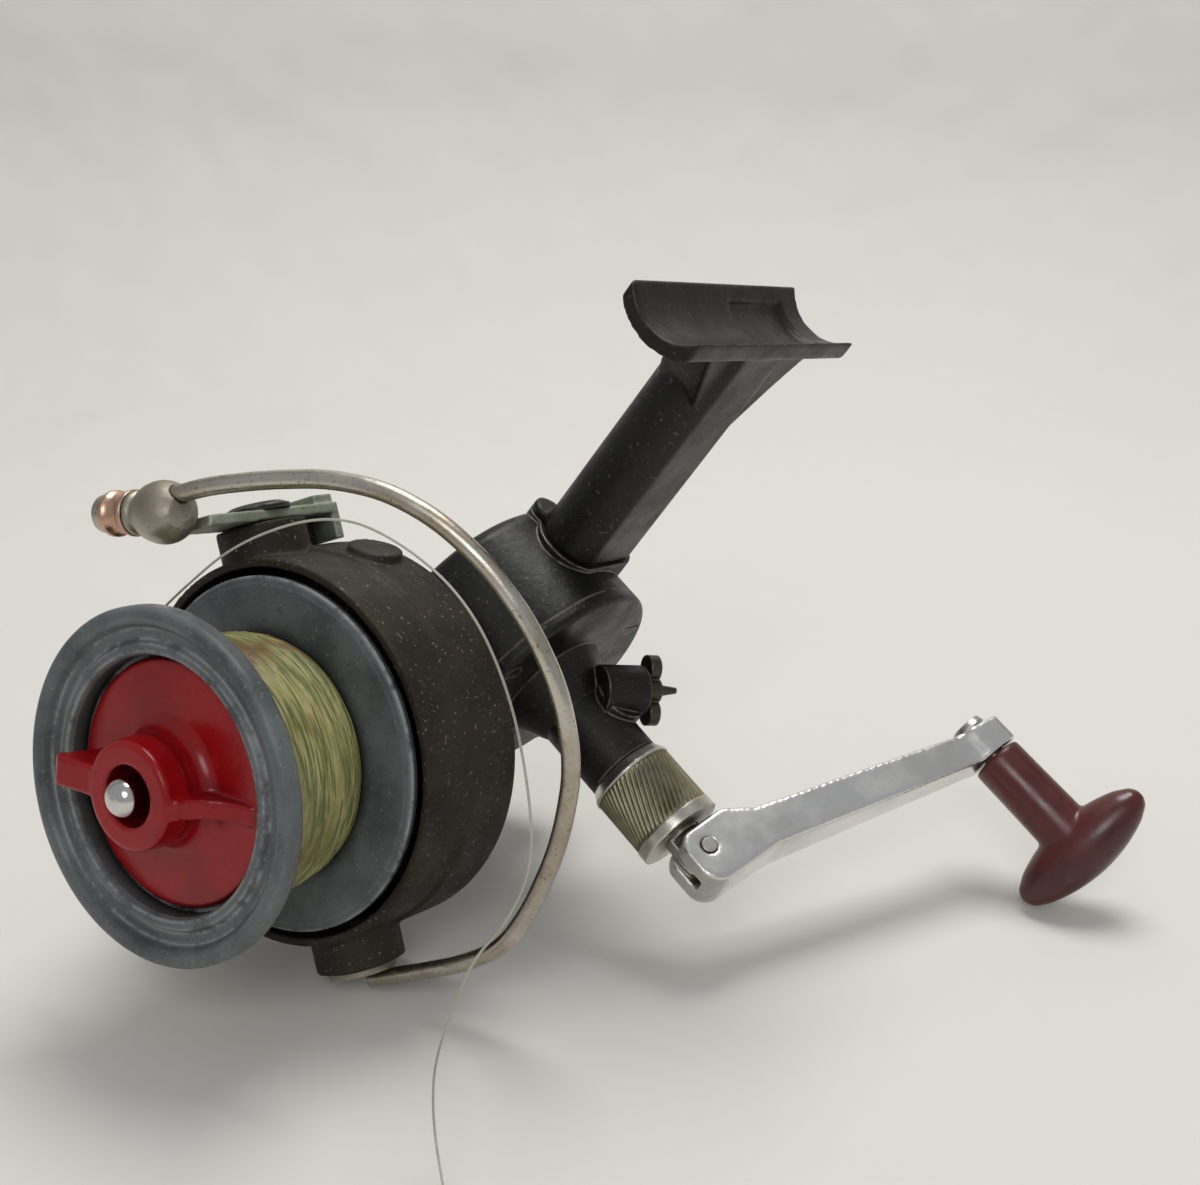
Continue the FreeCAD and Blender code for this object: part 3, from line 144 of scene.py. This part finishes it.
class Surface:
    """A node material built up in layers over the object's own coordinates."""

    CREVICE_REACH = 0.004

    def __init__(self, name, metallic=0.0, **sockets):
        self.material = bpy.data.materials.new(name)
        self.material.use_nodes = True
        self.tree = self.material.node_tree
        self.shader = self.tree.nodes["Principled BSDF"]
        self.shader.inputs["Metallic"].default_value = metallic
        for socket, amount in sockets.items():
            self.shader.inputs[socket.replace("_", " ")].default_value = amount
        self.place = self.node("TexCoord").outputs["Object"]
        self.colour = None
        self.rounded = None

    def node(self, kind, **values):
        made = self.tree.nodes.new("ShaderNode" + kind)
        for key, value in values.items():
            setattr(made, key, value)
        return made

    def link(self, start, end):
        self.tree.links.new(start, end)

    def noise(self, scale, detail=4.0, rough=0.6, stretch=None, twist=0.0):
        made = self.node("TexNoise")
        made.inputs["Scale"].default_value = scale
        made.inputs["Detail"].default_value = detail
        made.inputs["Roughness"].default_value = rough
        made.inputs["Distortion"].default_value = twist
        place = self.place
        if stretch:
            mapping = self.node("Mapping")
            mapping.inputs["Scale"].default_value = stretch
            self.link(self.place, mapping.inputs["Vector"])
            place = mapping.outputs[0]
        self.link(place, made.inputs["Vector"])
        return made.outputs["Fac"]

    def ramp(self, source, low, high, bottom=0.0, top=1.0):
        made = self.node("MapRange")
        made.interpolation_type = "SMOOTHSTEP"
        for number, value in zip(range(1, 5), (low, high, bottom, top)):
            made.inputs[number].default_value = value
        self.link(source, made.inputs[0])
        return made.outputs[0]

    def times(self, first, second):
        made = self.node("Math", operation="MULTIPLY")
        self.link(first, made.inputs[0])
        if isinstance(second, float):
            made.inputs[1].default_value = second
        else:
            self.link(second, made.inputs[1])
        return made.outputs[0]

    def base(self, first, second, scale, low=0.35, high=0.65, **noise):
        """Two close colours, blended by a broad noise."""
        made = self.node("Mix", data_type="RGBA")
        self.link(self.ramp(self.noise(scale, **noise), low, high), made.inputs["Factor"])
        made.inputs[6].default_value = (*first, 1)
        made.inputs[7].default_value = (*second, 1)
        self.colour = made.outputs[2]

    def layer(self, colour, factor):
        made = self.node("Mix", data_type="RGBA")
        self.link(factor, made.inputs["Factor"])
        self.link(self.colour, made.inputs[6])
        made.inputs[7].default_value = (*colour, 1)
        self.colour = made.outputs[2]

    def edges(self, radius):
        """One on the object's sharp edges, nought on its faces; also rounds the shading there."""
        soft = self.node("Bevel")
        soft.samples = 6
        soft.inputs["Radius"].default_value = radius
        plain = self.node("NewGeometry")
        dot = self.node("VectorMath", operation="DOT_PRODUCT")
        self.link(soft.outputs[0], dot.inputs[0])
        self.link(plain.outputs["Normal"], dot.inputs[1])
        self.rounded = soft.outputs[0]
        return self.ramp(dot.outputs["Value"], 0.995, 0.9)

    def dirt_and_shade_mask(self):
        """One in the object's corners and gaps, nought in the open: where dirt and painted shade are laid."""
        shade = self.node("AmbientOcclusion")
        shade.samples = 6
        shade.inputs["Distance"].default_value = self.CREVICE_REACH
        return self.ramp(shade.outputs["AO"], 0.75, 0.35)

    def finish(self, rough, rough_scale, bump_scale, bump_depth, relief=None, metal=None):
        """Join the layers to the shader. rough is the least and the most roughness."""
        self.link(self.colour, self.shader.inputs["Base Color"])
        self.link(self.ramp(self.noise(rough_scale), 0.3, 0.7, *rough), self.shader.inputs["Roughness"])
        if metal is not None:
            self.link(metal, self.shader.inputs["Metallic"])
        bump = self.node("Bump")
        bump.inputs["Distance"].default_value = bump_depth
        bump.inputs["Strength"].default_value = 0.7
        self.link(relief if relief is not None else self.noise(bump_scale, 5.0), bump.inputs["Height"])
        if self.rounded is not None:
            self.link(self.rounded, bump.inputs["Normal"])
        self.link(bump.outputs[0], self.shader.inputs["Normal"])
        return self.material


def worn(name, first, second, wear, dirt_and_shade, rough=(0.35, 0.6), metallic=0.0, wear_share=0.6, dirt_and_shade_share=0.7,
         dust=None, specks=None, bump=0.00006, bevel=0.0006, wear_metal=False, **sockets):
    """Paint, plastic or plated metal with rubbed edges, dirt and painted shade in its corners and a little dust."""
    skin = Surface(name, metallic, **sockets)
    skin.base(first, second, 55.0)
    if dust:
        skin.layer(dust, skin.ramp(skin.noise(900.0, 2.0), 0.62, 0.72, 0.0, 0.5))
        skin.layer(dust, skin.ramp(skin.noise(30.0, 6.0, 0.7), 0.5, 0.8, 0.0, 0.35))
    if specks:
        skin.layer(specks, skin.ramp(skin.noise(1300.0, 2.0, 0.5), 0.66, 0.72, 0.0, 0.75))
        skin.layer(specks, skin.ramp(skin.noise(420.0, 4.0, 0.6), 0.68, 0.76, 0.0, 0.5))
    # dark colour put into corners and gaps by ambient occlusion: dirt and painted shade
    skin.layer(dirt_and_shade, skin.times(skin.dirt_and_shade_mask(), dirt_and_shade_share))
    rubbed = skin.times(skin.edges(bevel), skin.ramp(skin.noise(160.0, 5.0, 0.75), 0.38, 0.55, 0.0, wear_share))
    skin.layer(wear, rubbed)
    return skin.finish(rough, 120.0, 700.0, bump, metal=rubbed if wear_metal else None)


def make_materials():
    """One material for each finish of the object."""
    made = {}
    # the fifth colour of each worn finish is dirt and painted shade, laid in its corners and gaps
    made["body"] = worn("BodyEnamel", (0.004, 0.004, 0.003), (0.011, 0.01, 0.007), (0.34, 0.32, 0.28),
                        (0.014, 0.012, 0.008), (0.3, 0.5), dust=(0.035, 0.03, 0.02), specks=(0.1, 0.085, 0.06),
                        wear_metal=True, bump=0.0001, Specular_IOR_Level=0.3)
    made["rotor"] = worn("RotorMoulding", (0.012, 0.009, 0.006), (0.024, 0.018, 0.011), (0.09, 0.07, 0.048),
                         (0.005, 0.004, 0.003), (0.5, 0.75), dust=(0.07, 0.052, 0.032),
                         specks=(0.2, 0.165, 0.11), bump=0.00012, Specular_IOR_Level=0.25)
    made["spool"] = worn("SpoolMoulding", (0.05, 0.06, 0.062), (0.105, 0.12, 0.122), (0.36, 0.38, 0.38),
                         (0.012, 0.01, 0.007), (0.25, 0.48), dust=(0.03, 0.03, 0.024), wear_share=0.95,
                         specks=(0.2, 0.2, 0.17), bevel=0.0014, dirt_and_shade_share=1.0, Specular_IOR_Level=0.35)
    made["red"] = worn("DragRed", (0.2, 0.002, 0.004), (0.29, 0.004, 0.006), (0.6, 0.12, 0.11),
                       (0.06, 0.002, 0.002), (0.14, 0.3), dust=(0.13, 0.01, 0.008), wear_share=0.35, dirt_and_shade_share=0.9,
                       Specular_IOR_Level=0.35)
    made["nickel"] = worn("WornNickel", (0.56, 0.53, 0.47), (0.4, 0.35, 0.28), (0.78, 0.77, 0.73),
                          (0.08, 0.05, 0.025), (0.18, 0.38), 0.97, dust=(0.16, 0.1, 0.05), specks=(0.08, 0.05, 0.03))
    made["rim"] = worn("CollarRim", (0.68, 0.66, 0.6), (0.56, 0.53, 0.46), (0.85, 0.84, 0.8),
                       (0.12, 0.08, 0.04), (0.22, 0.4), 0.97)
    made["chrome"] = worn("Chrome", (0.75, 0.75, 0.74), (0.62, 0.61, 0.59), (0.9, 0.9, 0.9),
                          (0.2, 0.16, 0.1), (0.07, 0.2), 1.0)
    made["steel"] = worn("TurnedSteel", (0.5, 0.49, 0.47), (0.38, 0.36, 0.33), (0.7, 0.7, 0.68),
                         (0.12, 0.07, 0.035), (0.25, 0.45), 1.0)
    made["alloy"] = worn("PolishedAlloy", (0.78, 0.77, 0.75), (0.7, 0.69, 0.66), (0.92, 0.91, 0.89),
                         (0.22, 0.16, 0.1), (0.14, 0.28), 1.0, bump=0.00003)
    made["plated"] = worn("CorrodedPlate", (0.42, 0.39, 0.33), (0.27, 0.24, 0.19), (0.66, 0.64, 0.58),
                          (0.07, 0.06, 0.035), (0.35, 0.6), 0.85, dust=(0.13, 0.12, 0.07), specks=(0.3, 0.33, 0.24),
                          bump=0.00015)
    made["verdigris"] = worn("Verdigris", (0.34, 0.36, 0.29), (0.2, 0.24, 0.17), (0.62, 0.62, 0.56),
                             (0.07, 0.08, 0.045), (0.45, 0.7), 0.55, dust=(0.36, 0.42, 0.32),
                             specks=(0.14, 0.11, 0.06), bump=0.0002)
    made["lever"] = worn("DullBronze", (0.09, 0.078, 0.055), (0.055, 0.046, 0.034), (0.3, 0.28, 0.22),
                         (0.02, 0.016, 0.01), (0.3, 0.5), 0.8, specks=(0.14, 0.12, 0.09))
    made["copper"] = worn("CopperRoller", (0.5, 0.29, 0.2), (0.6, 0.4, 0.29), (0.78, 0.64, 0.52),
                          (0.14, 0.07, 0.035), (0.22, 0.4), 0.95)
    made["brass"] = worn("Brass", (0.55, 0.4, 0.18), (0.42, 0.29, 0.12), (0.75, 0.62, 0.36),
                         (0.14, 0.09, 0.04), (0.25, 0.45), 1.0)
    made["knurl"] = worn("KnurledBand", (0.3, 0.27, 0.17), (0.2, 0.175, 0.105), (0.6, 0.56, 0.44),
                         (0.04, 0.032, 0.016), (0.28, 0.45), 0.9, dirt_and_shade_share=1.0, bevel=0.0003)
    made["felt"] = worn("Felt", (0.4, 0.36, 0.27), (0.3, 0.26, 0.19), (0.5, 0.45, 0.36), (0.12, 0.1, 0.07),
                        (0.85, 0.95), bump=0.0003)
    bakelite = Surface("Bakelite", 0.0)
    bakelite.base((0.045, 0.007, 0.007), (0.085, 0.014, 0.011), 45.0, 0.35, 0.68, twist=1.2)
    bakelite.layer((0.14, 0.05, 0.04), bakelite.ramp(bakelite.noise(260.0, 5.0, 0.7), 0.6, 0.75, 0.0, 0.4))
    bakelite.layer((0.02, 0.004, 0.004), bakelite.ramp(bakelite.noise(400.0, 3.0), 0.62, 0.7, 0.0, 0.5))
    bakelite.edges(0.0008)
    made["bakelite"] = bakelite.finish((0.2, 0.42), 90.0, 500.0, 0.00005)
    line = Surface("WoundLine", 0.0)
    line.base((0.22, 0.21, 0.07), (0.42, 0.37, 0.16), 90.0, stretch=(6.0, 1.0, 1.0))
    line.layer((0.07, 0.11, 0.03), line.ramp(line.noise(420.0, 3.0, stretch=(5.0, 0.3, 0.3)), 0.48, 0.6, 0.0, 0.85))
    line.layer((0.14, 0.07, 0.025), line.ramp(line.noise(45.0, 4.0), 0.5, 0.66, 0.0, 0.85))
    strand = Surface("LooseLine", 0.0)
    strand.base((0.4, 0.4, 0.34), (0.3, 0.31, 0.24), 60.0)
    made["strand"] = strand.finish((0.2, 0.35), 200.0, 900.0, 0.00002)
    made["line"] = line.finish((0.3, 0.5), 200.0, 900.0, 0.0001,
                               line.noise(700.0, 2.0, stretch=(2.5, 0.12, 0.12)))
    return made


FINISHES = {
    "body": ("stem_and_foot", "gear_case", "side_cover", "cover_screws", "arm_pivot_cap"),
    "rotor": ("rotor",),
    "spool": ("spool",),
    "red": ("drag_knob",),
    "nickel": ("rotor_nut", "roller_nut", "bail_wire"),
    "rim": ("collar_inner_rim", "collar_outer_rim"),
    "chrome": ("release_button",),
    "steel": ("main_shaft", "oscillation_yoke", "guide_rod", "pinion_bearing", "bearing_retainer", "pinion_washer",
              "eccentric_pin", "ratchet_wheel", "pawl", "pawl_pin", "spool_seat", "drag_plates", "button_spring",
              "bail_spring", "handle_shaft", "knob_spindle", "fold_pin"),
    "alloy": ("crank",),
    "plated": ("wire_pivot_plate", "arm_end"),
    "verdigris": ("bail_arm",),
    "lever": ("anti_reverse_lever",),
    "copper": ("line_roller",),
    "brass": ("drive_wheel", "pinion", "crosshead", "knob_insert", "inner_bush", "outer_bush"),
    "knurl": ("collar_sleeve",),
    "felt": ("drag_felts",),
    "bakelite": ("knob",),
    "line": ("line_winding",),
    "strand": ("fishing_line",),
}


def paint_nodes(materials):
    for finish, names in FINISHES.items():
        for name in names:
            for slot in nodes[name].material_slots:
                slot.link = "OBJECT"
                slot.material = materials[finish]


# ---------------------------------------------------------------- detailed pieces

def add_piece(name, mesh, body, slot, material, *replaced):
    thing = bpy.data.objects.new(name, mesh)
    bpy.context.scene.collection.objects.link(thing)
    mesh.materials.clear()
    mesh.materials.append(material)
    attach(thing, body)
    if replaced:
        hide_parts(*replaced)
    return thing


# piece, node, voxel size, rounds of smoothing, body, slot and finish
SOFTENED = (
    ("FootCasting", "stem_and_foot", 0.00045, 6, "frame", "body_metal", "body"),
    ("DragKnob", "drag_knob", 0.0003, 6, "drag", "drag_red", "red"),
    ("KnobMoulding", "knob", 0.00035, 12, "knob", "bakelite", "bakelite"),
    ("ArmEndCasting", "arm_end", 0.00025, 4, "bail", "corroded", "plated"),
    ("BailArmCasting", "bail_arm", 0.00025, 4, "bail", "corroded", "verdigris"),
    ("RotorMoulding", "rotor", 0.0004, 4, "rotor_assembly", "rotor_plastic", "rotor"),
    ("CrankForging", "crank", 0.0004, 5, "crank", "bright_alloy", "alloy"),
)


def softened(name, node, voxel, rounds, body, slot, material):
    """A casting or moulding with its edges rounded off, in place of the sharp solid."""
    mesh = nodes[node].data.copy()
    thing = bpy.data.objects.new(name, mesh)
    bpy.context.scene.collection.objects.link(thing)
    remesh = thing.modifiers.new("Voxels", "REMESH")
    remesh.mode = "VOXEL"
    remesh.voxel_size = voxel
    smooth = thing.modifiers.new("Smooth", "SMOOTH")
    smooth.factor = 0.5
    smooth.iterations = rounds
    bpy.context.view_layer.update()
    shaped = bpy.data.meshes.new_from_object(thing.evaluated_get(bpy.context.evaluated_depsgraph_get()))
    bpy.data.objects.remove(thing)
    for face in shaped.polygons:
        face.use_smooth = True
    return add_piece(name, shaped, body, slot, material, node)


def collar_knurl(material):
    """The collar's gripping band: slanted ridges cut round it, and its plain ends and bore."""
    low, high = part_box("collar_sleeve")
    centre = (low + high) / 2
    outer = (high.x - low.x) / 2
    inner = outer * 0.43
    around, along = 384, 40
    ridges, depth, lean = 48, 0.00032, 5.0
    groove_slope, end_fade = 1.6, 12
    mesh = bpy.data.meshes.new("CollarKnurl")
    build = bmesh.new()
    rings = [[(inner, 0.0)] * around]
    for step in range(along + 1):
        share = step / along
        ring = []
        for spot in range(around):
            turn = spot / around
            wave = 2 * abs((turn * ridges + share * lean) % 1.0 - 0.5)
            fade = min(1.0, end_fade * share, end_fade * (1 - share))
            cut = depth * (1 - min(1.0, wave * groove_slope)) * fade
            ring.append((outer - cut, share))
        rings.append(ring)
    rings.append([(inner, 1.0)] * around)
    grid = []
    for ring in rings:
        row = []
        for spot, (radius, share) in enumerate(ring):
            angle = 2 * math.pi * spot / around
            row.append(build.verts.new((centre.x + radius * math.cos(angle), low.y + share * (high.y - low.y),
                                        centre.z + radius * math.sin(angle))))
        grid.append(row)
    for here, there in zip(grid, grid[1:] + grid[:1]):
        for spot in range(around):
            after = (spot + 1) % around
            build.faces.new((here[spot], here[after], there[after], there[spot]))
    bmesh.ops.recalc_face_normals(build, faces=build.faces)
    build.to_mesh(mesh)
    build.free()
    add_piece("CollarKnurl", mesh, "collar", "knurled", material, "collar_sleeve")


def wound_line(material):
    """The outer turns of line on the spool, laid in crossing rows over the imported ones."""
    low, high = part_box("line_winding")
    centre = (low + high) / 2
    widest = (high.z - low.z) / 2
    start, end = low.x + 0.0012, high.x - 0.0042
    crown, inset, layer_rise, unevenness = 0.0010, 0.00045, 0.00012, 0.00006
    per_turn = 36
    curve = bpy.data.curves.new("WoundLine", "CURVE")
    curve.dimensions = "3D"
    curve.bevel_depth = 0.00019
    curve.bevel_resolution = 1
    for layer, (turns, lean) in enumerate(((44, 1), (31, -1), (23, 1))):
        count = turns * per_turn
        spline = curve.splines.new("POLY")
        spline.points.add(count)
        first = random.random() * FULL_TURN
        for step in range(count + 1):
            share = step / count
            along = share if lean > 0 else 1 - share
            along += 0.006 * math.sin(step * 0.071 + layer) + 0.004 * math.sin(step * 0.37 + 2 * layer)
            along = min(1.0, max(0.0, along))
            barrel = widest - crown * (2 * along - 1) ** 2 - inset + layer_rise * layer
            barrel += unevenness * math.sin(step * 0.23 + layer)
            angle = first + 2 * math.pi * step / per_turn
            spline.points[step].co = (start + along * (end - start), centre.y + barrel * math.cos(angle),
                                      centre.z + barrel * math.sin(angle), 1)
    strands = bpy.data.objects.new("WoundLineCurve", curve)
    bpy.context.scene.collection.objects.link(strands)
    bpy.context.view_layer.update()
    mesh = bpy.data.meshes.new_from_object(strands.evaluated_get(bpy.context.evaluated_depsgraph_get()))
    bpy.data.objects.remove(strands)
    for face in mesh.polygons:
        face.use_smooth = True
    add_piece("WoundLine", mesh, "spool_assembly", "line_nylon", material)


# ---------------------------------------------------------------- cord

LINE_ROUTE = [(72.5, -23.85, -97), (73.5, -23.3, -86), (74, -20.4, -73), (80, -11.9, -52.6), (84, 1.4, -33.4),
              (84, 13.4, -27.3), (82, 26.8, -26.6), (78.5, 38.6, -33.6), (76.5, 49.5, -43.5), (76, 57, -52),
              (76.5, 59.6, -62), (76, 59, -71.5), (74.8, 61.2, -81), (72.7, 63.9, -93.3), (73.4, 69.9, -100.2),
              (81.4, 79.4, -98.6), (85.4, 84.9, -97.8)]


def add_line(materials):
    """The loose end of the fishing line, one smooth strand."""
    curve = bpy.data.curves.new("FishingLine", "CURVE")
    curve.dimensions = "3D"
    curve.bevel_depth = 0.0002
    curve.bevel_resolution = 3
    curve.resolution_u = 16
    spline = curve.splines.new("NURBS")
    spline.points.add(len(LINE_ROUTE) - 1)
    for spot, (x, y, z) in zip(spline.points, LINE_ROUTE):
        spot.co = (x * MM, y * MM, z * MM, 1)
    spline.order_u = 3
    spline.use_endpoint_u = True
    curve.materials.append(materials["strand"])
    strand = bpy.data.objects.new("FishingLine", curve)
    bpy.context.scene.collection.objects.link(strand)
    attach(strand, "shaft")
    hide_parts("fishing_line")


add_camera()
add_backdrop()
add_world()
add_light("Key", (-0.1, -0.55, 0.7), 0.5, 6.0)
add_light("Fill", (0.7, 0.1, 0.45), 0.35, 1.8)
materials = make_materials()
paint_nodes(materials)
add_line(materials)
for name, node, voxel, rounds, body, slot, finish in SOFTENED:
    softened(name, node, voxel, rounds, body, slot, materials[finish])
collar_knurl(materials["knurl"])
wound_line(materials["line"])
